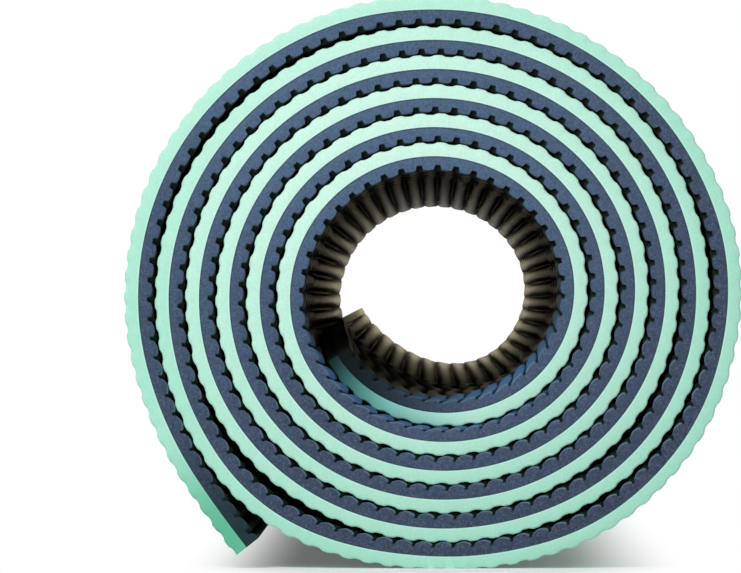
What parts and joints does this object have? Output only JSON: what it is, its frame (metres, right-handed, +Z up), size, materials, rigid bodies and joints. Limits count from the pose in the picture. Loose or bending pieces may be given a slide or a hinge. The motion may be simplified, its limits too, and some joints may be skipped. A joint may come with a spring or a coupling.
{
  "type": "yoga mat",
  "caption": "Rolled exercise mat lying on its side: a ribbed two-layer foam sheet wound in a loose oval spiral round an open core.",
  "frame": {"origin": "middle of the roll's box in X and Y, on the surface that it rests on", "axes": "+Y along the roll's axis, +Z up; seen from -Y the sheet winds outward counter-clockwise and its free end lies at the lower left"},
  "size_m": [0.1406, 0.61, 0.1313],
  "materials": {
    "base_foam": "matte",
    "top_foam": "matte"
  },
  "bodies": {
    "root": {"base_layer": "base_foam", "top_layer": "top_foam"}
  },
  "joints": []
}
